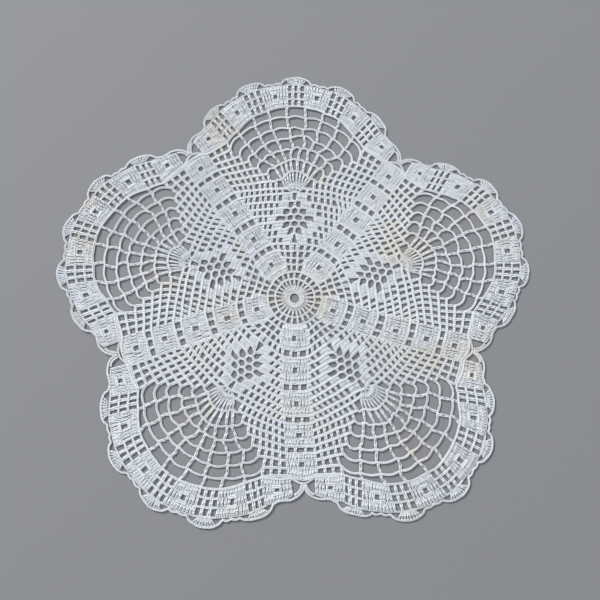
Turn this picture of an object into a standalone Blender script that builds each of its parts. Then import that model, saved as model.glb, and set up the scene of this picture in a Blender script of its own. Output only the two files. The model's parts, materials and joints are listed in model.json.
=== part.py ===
"""A crocheted lace doily with five lobes, modelled as the flat sheet of its worked cotton.

The doily is worked in the round from the middle hole, so it is one piece: five solid
spokes, filet mesh and a diamond of blocks between them, a fan of net over each diamond,
a border of blocks and a scalloped edging. One half lobe is laid out from its rounds,
mirrored, and turned five times. The whole is then eased out of true as handwork is.
The sheet lies on the plane z = 0 with its right side up, in metres.
"""
import math

import bmesh
import bpy

MM = 0.001
LOBES = 5
SECTOR = math.radians(180 / LOBES)          # from a lobe's axis to the next spoke

STAR_AT = (-1.2, -9.0)                      # middle of the even star, mm from the origin
SHEET_THICK = 1.6 * MM                      # height of a worked stitch lying flat
THREAD_HALF = 0.65                          # half the width of a post or chain, mm
MIDDLE_HOLE = 3.1                           # radius of the ring that the work starts on, mm
MIDDLE_SIDES = 14
SPOKE_HALF = 8.6                            # from a spoke's middle to its outer stitch, mm

# round: top of the round along a spoke and along a lobe's axis, mm from the middle;
# filet squares from the spoke to the diamond, where those squares end, and where the
# posts of the diamond's web stand on one side of the axis, mm
INNER_ROUNDS = {
    9: (51.2, 49.0, 3, 11.2, (0.0, 5.5)),
    10: (56.8, 54.1, 3, 14.8, (2.9, 8.8)),
    11: (62.6, 59.2, 3, 19.2, (0.0, 6.0, 14.0)),
    12: (68.2, 63.9, 5, 14.3, (2.9, 8.8)),
    15: (84.4, 79.0, 10, 4.9, ()),
}
ROW_BOW = 1.6                               # power of the curve that a round's top follows

FAN_HUB = 80.6                              # height of the fan's middle on the lobe's axis, mm
FAN_RAYS = 4                                # posts on each side of the axis
# round: top along a spoke, reach of the fan's arc, turn between two posts in degrees,
# reach and turn of the arc's end, filet squares from the spoke to that end
FAN_ROUNDS = {
    16: (89.7, 12.0, 13.0, 14.1, 74.6, 8),
    17: (94.7, 20.4, 13.8, 21.4, 66.7, 7),
    18: (99.6, 28.4, 13.9, 29.3, 64.6, 6),
    19: (104.3, 37.0, 14.6, 37.0, 63.2, 5),
    20: (109.1, 45.1, 14.0, 44.4, 62.7, 4),
    21: (113.9, 53.4, 13.5, 52.2, 61.6, 3),
    22: (118.7, 61.6, 12.9, 57.2, 58.0, 3),
}
ARC_BOW = 1.2                               # how far a chain bows out between two posts, mm
# the solid foot that the fan springs from: its middle on the axis, its reach, and the
# turn from the axis at which the fan's first side cell begins
DOME_HUB, DOME_REACH, DOME_SIDE = 78.0, 5.2, 62
# rounds whose gaps are over 4 mm wide: across the diamond, in the fan, and between the
# fan and the filet
WEB_ROUNDS = (10, 11, 12)
FAN_NET_ROUNDS = (18, 19, 20, 21, 22)
SIDE_ROUNDS = (16, 17, 18, 19, 20, 21, 22)

BORDER_HUB = 88.4                           # middle of the border's curve on the axis, mm
# the border's inner edge, where the fan's last posts end: turn and reach of each post
BORDER_INNER = ((6.7, 54.4), (22.2, 53.8), (35.2, 54.0), (51.5, 52.5))
BORDER_BOW = 0.5                            # how far that edge bows between two posts, mm
RIM_REACH = 73.0                            # edge over the border's blocks
# edging shells on one half of a lobe: turn from the axis in degrees, how far the shell
# stands past that edge in mm
SHELLS = ((0.0, 5.2), (27.4, 5.2), (53.0, 3.6))
SHELL_HALF = 8.6                            # half of a shell, degrees
SHELL_STEPS = 3                             # straight steps from a shell's top to its foot
BLOCK_END, BLOCK_END_RISE = 65.5, 1.0       # turn and rise where the border's last block ends
# how the edge runs from the last block into the valley: across the spoke, along it, mm
VALLEY = ((9.4, 134.4), (5.2, 132.0), (2.2, 129.4), (0.0, 126.6))

# direction in degrees: how far the work has strayed outward and sideways from an even
# star, mm, at the middle rounds and at the border
STRAY = (
    (18, -0.5, -1.0, 1.9, 0.3),
    (54, -1.8, -1.5, -1.0, -2.8),
    (90, 0.0, 1.0, -0.5, -1.2),
    (126, 1.3, -0.7, 3.0, -0.8),
    (162, 0.8, -1.2, -0.3, 0.2),
    (198, 0.1, -1.0, 0.0, -0.2),
    (234, 0.7, -1.2, -1.4, 0.7),
    (270, 1.2, -2.5, -1.0, 3.0),
    (306, -0.8, -2.5, 1.0, 4.5),
    (342, -1.0, -2.8, 0.3, 1.8),
)
STRAY_MIDDLE = (-2.0, -0.7)                 # the middle hole's own shift, mm
STRAY_RADII = (60.0, 140.0)                 # where the two pairs of columns are measured, mm
NEARLY_STRAIGHT = 0.05                      # sine of the turn under which a corner counts as none

COTTON_COLOUR = (0.80, 0.81, 0.82, 1.0)
COTTON_ROUGHNESS = 0.9


def mix(start, end, share):
    """The point that lies a share of the way from start to end."""
    return tuple(a + (b - a) * share for a, b in zip(start, end))


def polar(hub, reach, turn):
    """A point round a hub on the lobe's axis; the turn is from the axis, in degrees."""
    angle = math.radians(turn)
    return (reach * math.sin(angle), hub + reach * math.cos(angle))


def spoke_point(across, along):
    """A point beside a spoke, measured across it towards the lobe and along it."""
    sine, cosine = math.sin(SECTOR), math.cos(SECTOR)
    return (along * sine - across * cosine, along * cosine + across * sine)


def row_point(number, x):
    """The top of an inner round at a distance x from the lobe's axis."""
    along, middle = INNER_ROUNDS[number][:2]
    end_x, end_y = spoke_point(SPOKE_HALF, along)
    share = min(1.0, abs(x) / end_x)
    return (x, middle + (end_y - middle) * share ** ROW_BOW)


def filet_heads(number):
    """Tops of the posts between a spoke and the diamond or the fan, from the spoke."""
    if number in INNER_ROUNDS:
        along, _, squares, edge, _ = INNER_ROUNDS[number]
        start_x = spoke_point(SPOKE_HALF, along)[0]
        return [row_point(number, start_x + (edge - start_x) * k / squares) for k in range(squares + 1)]
    along, _, _, end_reach, end_turn, squares = FAN_ROUNDS[number]
    start = spoke_point(SPOKE_HALF, along)
    end = polar(FAN_HUB, end_reach, end_turn)
    return [mix(start, end, k / squares) for k in range(squares + 1)]


def fan_head(number, post):
    """Top of a fan post; post 0.5 is the first one past the axis."""
    if number == FAN_NET_ROUNDS[-1]:
        turn, reach = BORDER_INNER[round(abs(post) - 0.5)]
        return polar(BORDER_HUB, reach, math.copysign(turn, post))
    _, reach, turn = FAN_ROUNDS[number][:3]
    return polar(FAN_HUB, reach, turn * post)


def arc_top(number, start, end):
    """Middle of the chain that bows out between two points of a fan's round."""
    x, y = mix(start, end, 0.5)
    bow = BORDER_BOW if number == FAN_NET_ROUNDS[-1] else ARC_BOW
    longer = 1 + bow / math.hypot(x, y - FAN_HUB)
    return (x * longer, FAN_HUB + (y - FAN_HUB) * longer)


def inset(points, distance):
    """A closed outline drawn in by the same distance along all its sides."""
    result = []
    count = len(points)
    for index in range(count):
        before, here, after = points[index - 1], points[index], points[(index + 1) % count]
        sides = []
        for start, end in ((before, here), (here, after)):
            dx, dy = end[0] - start[0], end[1] - start[1]
            length = math.hypot(dx, dy)
            normal = (-dy / length, dx / length)
            sides.append((normal, normal[0] * here[0] + normal[1] * here[1] + distance))
        (a, b), right_a = sides[0]
        (c, d), right_c = sides[1]
        det = a * d - b * c
        if abs(det) < NEARLY_STRAIGHT:
            result.append((here[0] + a * distance, here[1] + b * distance))
            continue
        result.append(((right_a * d - b * right_c) / det, (a * right_c - right_a * c) / det))
    return result


def web_gaps(number):
    """The open holes across a diamond, for both halves of the lobe."""
    web = INNER_ROUNDS[number][-1]
    stands = sorted({x * side for x in web for side in (-1, 1)})
    gaps = []
    for left, right in zip(stands, stands[1:]):
        low_left, low_right = row_point(number - 1, left), row_point(number - 1, right)
        high_left, high_right = row_point(number, left), row_point(number, right)
        gaps.append([low_left, low_right, high_right, high_left])
    return gaps


def fan_gaps(number):
    """The open cells between the posts of the fan, for both halves of the lobe."""
    gaps = []
    for cell in range(-FAN_RAYS + 1, FAN_RAYS):
        low_left, low_right = (fan_head(number - 1, cell + half) for half in (-0.5, 0.5))
        high_left, high_right = (fan_head(number, cell + half) for half in (-0.5, 0.5))
        gaps.append([low_left, arc_top(number - 1, low_left, low_right), low_right,
                     high_right, arc_top(number, high_left, high_right), high_left])
    return gaps


def side_gap(number):
    """The rounded cell between the fan's last post and the filet, on the right half."""
    last = FAN_RAYS - 0.5
    filet, filet_below = filet_heads(number), filet_heads(number - 1)
    if number == SIDE_ROUNDS[0]:
        foot = polar(DOME_HUB, DOME_REACH, DOME_SIDE)
    else:
        foot = fan_head(number - 1, last)
    head, stand = fan_head(number, last), filet_below[len(filet) - 1]
    corners = [foot, filet_below[-1], stand, filet[-1], arc_top(number, head, filet[-1]), head]
    return list(dict.fromkeys(corners))     # the last round stands on its neighbour's corner


def mirrored(points):
    """The same outline on the other half of the lobe, in the same sense of turning."""
    return [(-x, y) for x, y in reversed(points)]


def lobe_gaps():
    """Every gap over 4 mm wide in one lobe: the diamond's web and the fan of net."""
    gaps = []
    for number in WEB_ROUNDS:
        gaps += web_gaps(number)
    for number in FAN_NET_ROUNDS:
        gaps += fan_gaps(number)
    for number in SIDE_ROUNDS:
        side = side_gap(number)
        gaps += [side, mirrored(side)]
    return [inset(gap, THREAD_HALF) for gap in gaps]


def half_edge():
    """The scalloped edge of the right half of a lobe, from its axis into the valley."""
    points = []
    for shell, full_rise in SHELLS:
        for step in range(-SHELL_STEPS, SHELL_STEPS + 1):
            arc = step / SHELL_STEPS * math.pi / 2
            rise = full_rise * math.cos(arc)
            turn = shell + SHELL_HALF * math.sin(arc)
            if turn >= 0:
                points.append(polar(BORDER_HUB, RIM_REACH + rise, turn))
    points.append(polar(BORDER_HUB, RIM_REACH + BLOCK_END_RISE, BLOCK_END))
    points += [spoke_point(across, along) for across, along in VALLEY]
    return points


def strayed(x, y):
    """Where a point of the even star lies in the handmade piece."""
    radius = math.hypot(x, y)
    direction = math.degrees(math.atan2(y, x)) % 360
    step = 360 / len(STRAY)
    place = (direction - STRAY[0][0]) / step
    first = math.floor(place)
    share = (1 - math.cos(math.pi * (place - first))) / 2
    row = mix(STRAY[first % len(STRAY)][1:], STRAY[(first + 1) % len(STRAY)][1:], share)
    outward, sideways = (x / radius, y / radius), (-y / radius, x / radius)
    shifts = []
    for out, side in (row[:2], row[2:]):
        shifts.append(tuple(out * o + side * s for o, s in zip(outward, sideways)))
    middle_radius, rim_radius = STRAY_RADII
    if radius < middle_radius:
        shift = mix(STRAY_MIDDLE, shifts[0], radius / middle_radius)
    else:
        shift = mix(shifts[0], shifts[1], (radius - middle_radius) / (rim_radius - middle_radius))
    return (x + shift[0], y + shift[1])


def placed(lobe, points):
    """Points of one lobe, turned to their place in the star and eased, in metres."""
    angle = lobe * 2 * SECTOR
    result = []
    for x, y in points:
        even = (math.cos(angle) * x - math.sin(angle) * y, math.sin(angle) * x + math.cos(angle) * y)
        worked = strayed(*even)
        result.append(tuple((place + shift) * MM for place, shift in zip(worked, STAR_AT)))
    return result


def sheet_outlines():
    """The outer edge, the middle hole and the gaps, each a closed list of points."""
    edge = []
    half = half_edge()
    lobe_edge = half[::-1] + mirrored(half)[::-1][1:]
    for lobe in range(LOBES):
        edge += placed(lobe, lobe_edge[:-1])
    middle = [(MIDDLE_HOLE * math.cos(2 * math.pi * k / MIDDLE_SIDES),
               MIDDLE_HOLE * math.sin(2 * math.pi * k / MIDDLE_SIDES)) for k in range(MIDDLE_SIDES)]
    outlines = [edge, placed(0, middle)]
    gaps = lobe_gaps()
    for lobe in range(LOBES):
        outlines += [placed(lobe, gap) for gap in gaps]
    return outlines


def cotton():
    """Bleached cotton thread, off-white and matt."""
    material = bpy.data.materials.new("cotton")
    material.use_nodes = True
    shader = material.node_tree.nodes["Principled BSDF"]
    shader.inputs["Base Color"].default_value = COTTON_COLOUR
    shader.inputs["Roughness"].default_value = COTTON_ROUGHNESS
    return material


def build_doily():
    """The flat sheet: its outlines filled on the table's plane and raised to its thickness."""
    sheet = bmesh.new()
    for outline in sheet_outlines():
        corners = [sheet.verts.new((x, y, 0.0)) for x, y in outline]
        for index, corner in enumerate(corners):
            sheet.edges.new((corner, corners[(index + 1) % len(corners)]))
    bmesh.ops.triangle_fill(sheet, use_beauty=True, edges=sheet.edges[:])
    raised = bmesh.ops.extrude_face_region(sheet, geom=sheet.faces[:])
    top = [item for item in raised["geom"] if isinstance(item, bmesh.types.BMVert)]
    bmesh.ops.translate(sheet, verts=top, vec=(0.0, 0.0, SHEET_THICK))
    bmesh.ops.recalc_face_normals(sheet, faces=sheet.faces[:])
    mesh = bpy.data.meshes.new("doily")
    sheet.to_mesh(mesh)
    sheet.free()
    mesh.materials.append(cotton())
    doily = bpy.data.objects.new("doily", mesh)
    bpy.context.scene.collection.objects.link(doily)
    return doily


def main():
    for item in list(bpy.data.objects):
        bpy.data.objects.remove(item)
    build_doily()


main()
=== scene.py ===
# %% [markdown]
# # A crocheted lace doily with five lobes
#
# This lesson dresses a flat, pierced sheet as the thread work that it stands for. The
# doily is worked in rounds from a ring in the middle: five solid spokes, filet mesh and
# a diamond of blocks between the spokes, a fan of net over each diamond, a border of
# blocks and filet columns, and a scalloped edging.
#
# Such lace could be drawn as a picture of holes on a flat sheet, but it would look like
# paper from the side. Here each stitch is there: a post is two twisted legs of thread
# with a wrap round them, and a chain is a plait of small strands. A handful of these
# stitches is modelled once, then Geometry Nodes lays thousands of copies where the
# pattern puts them.

import json
import math
import random
from collections import namedtuple

import bmesh
import bpy
import numpy as np
from mathutils import Matrix, Vector, noise

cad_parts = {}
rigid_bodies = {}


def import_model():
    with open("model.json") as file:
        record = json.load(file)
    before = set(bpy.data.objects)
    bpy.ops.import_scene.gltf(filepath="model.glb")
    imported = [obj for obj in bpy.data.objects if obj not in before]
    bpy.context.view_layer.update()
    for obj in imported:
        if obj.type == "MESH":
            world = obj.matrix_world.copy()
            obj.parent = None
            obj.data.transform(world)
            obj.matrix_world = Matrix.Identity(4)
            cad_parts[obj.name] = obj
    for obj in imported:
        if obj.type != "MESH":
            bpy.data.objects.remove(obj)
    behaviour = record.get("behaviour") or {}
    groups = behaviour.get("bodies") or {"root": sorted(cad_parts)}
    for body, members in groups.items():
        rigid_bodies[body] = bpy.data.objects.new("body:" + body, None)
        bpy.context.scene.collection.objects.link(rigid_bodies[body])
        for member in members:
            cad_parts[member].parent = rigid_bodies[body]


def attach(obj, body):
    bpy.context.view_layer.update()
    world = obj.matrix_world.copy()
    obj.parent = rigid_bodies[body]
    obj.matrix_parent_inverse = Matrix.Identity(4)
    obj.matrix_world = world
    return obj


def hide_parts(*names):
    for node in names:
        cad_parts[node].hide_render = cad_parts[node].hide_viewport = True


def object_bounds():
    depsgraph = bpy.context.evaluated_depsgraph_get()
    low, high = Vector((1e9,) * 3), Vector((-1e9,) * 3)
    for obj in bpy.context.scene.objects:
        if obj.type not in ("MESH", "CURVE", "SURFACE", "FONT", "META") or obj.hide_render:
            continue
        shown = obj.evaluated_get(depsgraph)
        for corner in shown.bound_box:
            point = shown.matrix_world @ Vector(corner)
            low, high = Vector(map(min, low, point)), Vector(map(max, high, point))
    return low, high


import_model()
cad_low, cad_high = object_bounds()

MM = 0.001
random.seed(7)
noise.seed_set(7)
sheet_size = cad_high - cad_low
print(f"the sheet is {sheet_size.x / MM:.1f} x {sheet_size.y / MM:.1f} mm")

# %% [markdown]
# ## The rounds of one half lobe
#
# A round is one trip of the hook round the doily, and each stands on the one before. The
# stitches could be placed one by one, but crochet is worked from a chart, and that is
# shorter to write too. A lobe is the same on both sides of its axis, so the chart holds
# its right half: x runs to the right from the axis and y outward along it, in
# millimetres from the middle of the doily. A spoke stands 36 degrees off the axis. The
# tables hold only what one would measure or count: how far each round reaches, and how
# many squares of filet it has.

# %% Rings and spokes
LOBES = 5
SECTOR = math.radians(180 / LOBES)      # from a lobe's axis to the next spoke
FIRST_ROUND, LAST_ROUND = 4, 22         # between the rings in the middle and the border
FIRST_FILET = 7                         # the first round with squares of filet
DOME_ROUND, FAN_START = 15, 16          # where the fan's dome stands, and its first round of posts

MIDDLE_HOLE = 3.9                       # radius of the ring that the work starts on
Ring = namedtuple("Ring", "reach post_wide chain_wide")
RINGS = (Ring(8.5, 1.6, 1.0), Ring(13.3, 1.45, 1.6), Ring(18.5, 1.6, 1.7))
RING_POSTS = 25

SPOKE_START, SPOKE_END = 8.0, 9.3       # half width of a spoke at its start and its end
SPOKE_GROWS = (6, 20)                   # the rounds where these are
SPOKE_POSTS = 10
SPOKE_HOLE = 0.27                       # from a spoke's middle to the posts beside its hole
SPOKE_BOW = 34.0                        # a round bows out over a spoke by this over its reach
LAST_BOW = 2.4                          # and the last round by this much more
print(LOBES, "lobes, and rounds", FIRST_ROUND, "to", LAST_ROUND, "between rings and border")

# %% Inner rounds, from the rings to the top of the diamond
# top of the round along a spoke and along the lobe's axis, squares of filet beside the
# spoke, and where those squares end beside the axis
Inner = namedtuple("Inner", "along middle squares edge")
INNER = {
    3: Inner(18.5, 18.5, 0, 0.0),
    4: Inner(24.1, 23.1, 0, 6.5),
    5: Inner(29.5, 27.9, 0, 7.3),
    6: Inner(34.9, 33.0, 0, 11.5),
    7: Inner(40.3, 38.1, 3, 2.9),
    8: Inner(45.6, 43.5, 3, 7.5),
    9: Inner(51.2, 49.0, 3, 11.2),
    10: Inner(56.8, 54.1, 3, 14.8),
    11: Inner(62.6, 59.2, 3, 19.2),
    12: Inner(68.2, 63.9, 5, 14.3),
    13: Inner(73.7, 69.0, 7, 10.6),
    14: Inner(79.1, 75.0, 8, 7.8),
    15: Inner(84.4, 79.0, 10, 4.9),
}
# the open web in the diamond's middle: feet of its posts and their heads, as distances
# from the axis, and how far its chain is pulled outward at some of them
Web = namedtuple("Web", "feet heads pulls")
WEB = {
    4: Web((1.7, 4.9), (2.2, 6.5), ()),
    5: Web((2.0, 5.9), (2.4, 7.3), ()),
    6: Web((1.9, 5.8, 9.6), (2.3, 6.9, 11.5), ()),
    8: Web((3.1,), (1.2,), ((0.0, 2.4), (3.0, 0.8), (5.5, 0.0))),
    9: Web((0.0, 6.2), (0.0, 4.9), ((0.0, 0.6), (2.9, 2.0), (5.2, 0.4), (7.0, 0.0))),
    10: Web((2.9, 10.2), (2.8, 8.5),
            ((0.0, 1.3), (2.8, 0.1), (6.0, 1.4), (8.2, 0.3), (10.5, 0.7), (13.0, 0.0))),
    11: Web((0.0, 6.0, 14.6), (0.0, 5.8, 13.0),
            ((0.0, -0.3), (2.8, 0.9), (5.8, -0.5), (9.4, 0.2), (13.2, 0.0))),
    12: Web((2.8, 8.9), (2.6, 8.7), ((0.0, 1.2), (2.6, -0.4), (5.8, 0.6), (8.7, 0.0))),
    13: Web((0.0, 5.2), (0.0, 5.0), ((0.0, 0.0), (2.6, 0.8), (5.0, 0.0))),
    14: Web((1.6,), (2.5,), ((0.0, 1.2), (2.1, 1.0), (4.0, 0.0))),
}
ROW_BOW = 1.6                           # power of the curve that a round's top follows
print(len(INNER), "inner rounds,", len(WEB), "of them with an open web")


# %% Points on the chart
def mix(start, end, share):
    """A share of the way from one tuple of numbers to another."""
    return tuple(a + (b - a) * share for a, b in zip(start, end))


def polar(hub, reach, turn):
    """A point round a hub on the lobe's axis; the turn is from the axis, in degrees."""
    angle = math.radians(turn)
    return (reach * math.sin(angle), hub + reach * math.cos(angle))


def spoke_point(across, along):
    """A point beside a spoke, measured across it towards the lobe and along it."""
    sine, cosine = math.sin(SECTOR), math.cos(SECTOR)
    return (along * sine - across * cosine, along * cosine + across * sine)


def spoke_half(number):
    """Half the width of a spoke at a round's top."""
    first, last = SPOKE_GROWS
    share = min(1.0, max(0.0, (number - first) / (last - first)))
    return SPOKE_START + (SPOKE_END - SPOKE_START) * share


def spoke_top(number, share):
    """The top of a round over a spoke; share runs from 0 in its middle to 1 at its edge."""
    along = INNER[number].along if number in INNER else FAN[number].along
    bow = SPOKE_BOW / along * (0.5 - share * share)
    if number == LAST_ROUND:
        bow += LAST_BOW * (1 - share * share)
    return spoke_point(share * spoke_half(number), along + bow)


def web_pull(number, x):
    """How far the web's chain is pulled out of its round at x."""
    pulls = WEB[number].pulls if number in WEB else ()
    for (x0, pull0), (x1, pull1) in zip(pulls, pulls[1:]):
        if x0 <= abs(x) <= x1:
            eased = (1 - math.cos(math.pi * (abs(x) - x0) / (x1 - x0))) / 2
            return pull0 + (pull1 - pull0) * eased
    return 0.0


def row_point(number, x):
    """The top of an inner round at a distance x from the lobe's axis."""
    end_x, end_y = spoke_top(number, 1.0)
    middle = INNER[number].middle
    bend = min(1.0, abs(x) / end_x) ** ROW_BOW
    return (x, middle + (end_y - middle) * bend + web_pull(number, x))


print(f"a spoke grows from {2 * SPOKE_START} to {2 * SPOKE_END} mm wide")

# %% [markdown]
# ## The fan and the border
#
# Over each diamond a fan of posts springs from a small solid dome. Its chains widen
# round by round until they meet the border, a band of solid blocks with filet columns
# between them. Both could be bent from one straight strip, but the real ones aren't even:
# the fan's arcs share a hub on the lobe's axis, and the band grows wider at its ends. So
# the fan is charted by its reach from that hub, and the border by stations, which are the
# places where a block or a filet column begins on its inner and on its outer edge.

# %% Fan and border
FAN_HUB = 80.6                          # middle of the fan on the lobe's axis
# top of the round along a spoke, reach of the fan's arc, turn from the axis to the first
# post, reach and turn of the arc's end, squares of filet from the spoke to that end
Fan = namedtuple("Fan", "along reach turn end_reach end_turn squares")
FAN = {
    16: Fan(89.7, 10.9, 7.0, 14.1, 74.6, 8),
    17: Fan(94.7, 19.9, 6.9, 21.2, 66.7, 7),
    18: Fan(99.6, 28.4, 6.95, 29.3, 64.6, 6),
    19: Fan(104.3, 37.0, 7.3, 37.0, 63.2, 5),
    20: Fan(109.1, 45.1, 7.0, 44.4, 62.7, 4),
    21: Fan(113.9, 53.4, 6.75, 52.2, 61.6, 3),
    22: Fan(118.7, 61.6, 6.45, 57.2, 58.0, 3),
}
FIRST_POSTS, FAN_POSTS = 5, 4           # posts on each side of the axis in round 16, and later
DOME_HUB, DOME_REACH, DOME_TURN = 76.4, 7.3, 66.0
DOME_FOOT_HUB, DOME_FOOT_REACH = 75.0, 1.6      # the small arc that it stands on
# the dome's two tiers: where the posts start and end between foot and top, how many
# stand on each side of the axis, and their width
DOME_TIERS = ((0.0, 0.42, 2, 1.5), (0.34, 1.0, 5, 1.45))

BORDER_HUB = 88.4                       # middle of the border's curve on the lobe's axis
BORDER_ROUNDS = 3
# stations from the axis to the spoke: turn and reach on the inner edge, then on the outer
STATIONS = (
    (0.0, 54.6, 0.0, 71.7),
    (6.7, 54.4, 5.6, 71.7),
    (22.2, 53.8, 21.2, 71.7),
    (35.2, 54.0, 33.0, 71.5),
    (51.5, 52.5, 48.6, 71.2),
    (64.5, 53.4, 58.8, 70.4),
    (77.6, 65.3, 72.2, 74.4),
)
BLOCKS = (False, True, False, True, False, True)        # solid, or a filet column
BLOCK_PITCHES = 9                       # ten posts side by side
BLOCK_HOLE = 0.37                       # from a block's side to the posts beside its hole


def border_point(height, station):
    """A point of the border: height 0 is its inner edge and 1 its outer one."""
    first = min(len(STATIONS) - 2, int(station))
    turn_in, reach_in, turn_out, reach_out = mix(
        STATIONS[first], STATIONS[first + 1], station - first)
    inner, outer = polar(BORDER_HUB, reach_in, turn_in), polar(BORDER_HUB, reach_out, turn_out)
    return mix(inner, outer, height)


def fan_head(number, post):
    """Top of a post of the fan, counted 0, 1, 2... from the axis."""
    if number == LAST_ROUND:            # these stand under the border's first stations
        return border_point(0.0, post + 1)
    return polar(FAN_HUB, FAN[number].reach, FAN[number].turn * (2 * post + 1))


print(f"the border is {math.dist(border_point(0, 0), border_point(1, 0)):.1f} mm wide on the axis")

# %% Squares of filet
EASE, LATE_EASE = 1.2, 4.8              # how much wider the squares far from the spoke are
LATE_FILET = 12                         # the first round with the greater ease


def filet_heads(number):
    """Tops of the filet's posts in a round, from the spoke towards the axis."""
    start = spoke_top(number, 1.0)
    if number not in INNER:             # a straight row from the spoke to the fan
        row = FAN[number]
        end = polar(FAN_HUB, row.end_reach, row.end_turn)
        return [mix(start, end, k / row.squares) for k in range(row.squares + 1)]
    row = INNER[number]
    ease = LATE_EASE if number >= LATE_FILET else EASE
    heads = []
    for k in range(row.squares + 1):
        share = k / max(row.squares, 1)
        x = start[0] + (row.edge - start[0]) * share + ease * share * (1 - share)
        heads.append(row_point(number, x))
    return heads


print("squares of filet in round 15 end at",
      [round(x, 1) for x, _ in filet_heads(DOME_ROUND)], "mm from the axis")

# %% [markdown]
# ## Posts
#
# A post is a tall stitch that stands on the round below. Posts could be spread evenly by
# an array along each round, but their feet sit where the round below has a head, so each
# is noted by its foot, its head and its width. A spoke repeats four rounds: one of ten
# posts, one with a small hole in the middle, another of ten, and one of three squares.

# %% Posts of the spokes
FILET_WIDE = 2.15                       # posts and chains round the squares of filet
HOLE_WIDE = 2.0                         # the same beside the holes of a spoke
BLOCK_FILL = 0.94                       # how much of its room a post in a solid block fills
FOOT_SLIP = 0.25                        # how far a foot may slip to the side
FULL, HOLED, FULL_AGAIN, SQUARES = range(4)
posts = []                              # foot, head, width, slip


def spoke_step(number):
    """Which of its four rounds a spoke has here."""
    return (number - FIRST_ROUND) % 4


def add_post(foot, head, wide=FILET_WIDE, slip=FOOT_SLIP):
    """Notes a post on the chart."""
    posts.append((foot, head, wide, slip))


def snug(start, end, pitches):
    """The width of a post in a block that holds this many pitches from start to end."""
    return BLOCK_FILL * math.dist(start, end) / pitches


def chart_spoke(number):
    """The posts of half a spoke in one round."""
    step = spoke_step(number)
    half = SPOKE_POSTS // 2
    packed = snug(spoke_top(number, 0), spoke_top(number, 1), (SPOKE_POSTS - 1) / 2)
    for post in range(half):
        share = (2 * post + 1) / (SPOKE_POSTS - 1)
        if step == HOLED:               # four posts, between the hole and the edge
            share = SPOKE_HOLE + (1 - SPOKE_HOLE) * (post - 1) / (half - 2)
        if (step == HOLED and post == 0) or (step == SQUARES and post not in (1, half - 1)):
            continue                    # here is the hole, or the inside of a square
        head, foot = spoke_top(number, share), spoke_top(number - 1, share)
        if number == FIRST_ROUND:       # it stands on the last ring
            foot = tuple(RINGS[-1].reach * v / math.hypot(*head) for v in head)
        add_post(foot, head, HOLE_WIDE if step == SQUARES else packed)


for number in range(FIRST_ROUND, LAST_ROUND + 1):
    chart_spoke(number)
print(len(posts), "posts in half a spoke")

# %% Posts of the diamond
WEB_WIDE = 1.8                          # chains and posts in the web inside a diamond
POST_ROOM = 1.8                         # a post's room in the first rounds, before the filet
BESIDE_WEB, WITHOUT_WEB = 4, 3          # pitches from the web, or from the axis, to the filet


def foot_share(number):
    """How far out a foot stands for its head: the first rounds are radial, the rest upright."""
    if number > FIRST_FILET:
        return 1.0
    return spoke_top(number - 1, 1.0)[0] / spoke_top(number, 1.0)[0]


def block_pitches(number, room):
    """How many posts side by side fill the diamond's block in a round."""
    if number < FIRST_FILET:
        return round(room / POST_ROOM)
    if number == DOME_ROUND:            # the dome stands there instead
        return 0
    return BESIDE_WEB if number in WEB else WITHOUT_WEB


def chart_diamond(number):
    """The web's posts in one round, then the block of posts beside them."""
    feet, heads = (WEB[number].feet, WEB[number].heads) if number in WEB else ((), ())
    for foot, head in zip(feet, heads):
        add_post(row_point(number - 1, foot), row_point(number, head), WEB_WIDE)
    start = (feet[-1], heads[-1]) if feet else (0.0, 0.0)
    stop = spoke_top(number, 1.0)[0] if number < FIRST_FILET else INNER[number].edge
    pitches = block_pitches(number, stop - start[1])
    for k in range(1, pitches):
        foot, head = mix(start, (stop * foot_share(number), stop), k / pitches)
        add_post(row_point(number - 1, foot), row_point(number, head),
                 snug(row_point(number, start[1]), row_point(number, stop), pitches))


before = len(posts)
for number in range(FIRST_ROUND, DOME_ROUND + 1):
    chart_diamond(number)
print(len(posts) - before, "posts in half a diamond")

# %% Posts of the filet
SNAP = 1.3                              # a post stands on the head below if it is this near


def foot_below(number, x):
    """Where a post whose head is x from the axis stands on the round below."""
    natural = x * foot_share(number)
    heads = [head[0] for head in filet_heads(number - 1)]
    nearest = min(heads, key=lambda head: abs(head - natural))
    return row_point(number - 1, nearest if abs(nearest - natural) < SNAP else natural)


def chart_filet(number):
    """The posts between the squares of filet in one round."""
    heads, below = filet_heads(number), filet_heads(number - 1)
    if number == DOME_ROUND:            # the dome's side takes the place of the last one
        heads.pop()
    for k, head in enumerate(heads[1:], 1):
        inner = number in INNER
        add_post(foot_below(number, head[0]) if inner else below[min(k, len(below) - 1)], head)


before = len(posts)
for number in range(FIRST_FILET, LAST_ROUND + 1):
    chart_filet(number)
print(len(posts) - before, "posts in the filet of half a lobe")

# %% Posts of the dome and the fan
POST_WIDE, CHAIN_WIDE = 1.95, 1.7       # a post and a chain in the fan's net
FOOT_WIDE = 1.4                         # a post that springs from the dome
FIRST_TURN, SECOND_TURN = 7.0, 9.0      # first foot of round 16 and of round 17, from the axis
SECOND_SLIP = 0.3
FAN_SLIP, KINK = 1.6, 1.0               # how far a foot slips along the loose net, and a post bends


def chart_dome():
    """The dome's posts, which stand close enough to look solid."""
    for low, high, count, wide in DOME_TIERS:
        for post in range(count):
            turn = DOME_TURN * (post + 0.5) / (count - 0.5)
            foot = polar(DOME_FOOT_HUB, DOME_FOOT_REACH, turn)
            head = polar(DOME_HUB, DOME_REACH, turn)
            add_post(mix(foot, head, low), mix(foot, head, high), wide, 0.0)


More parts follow.
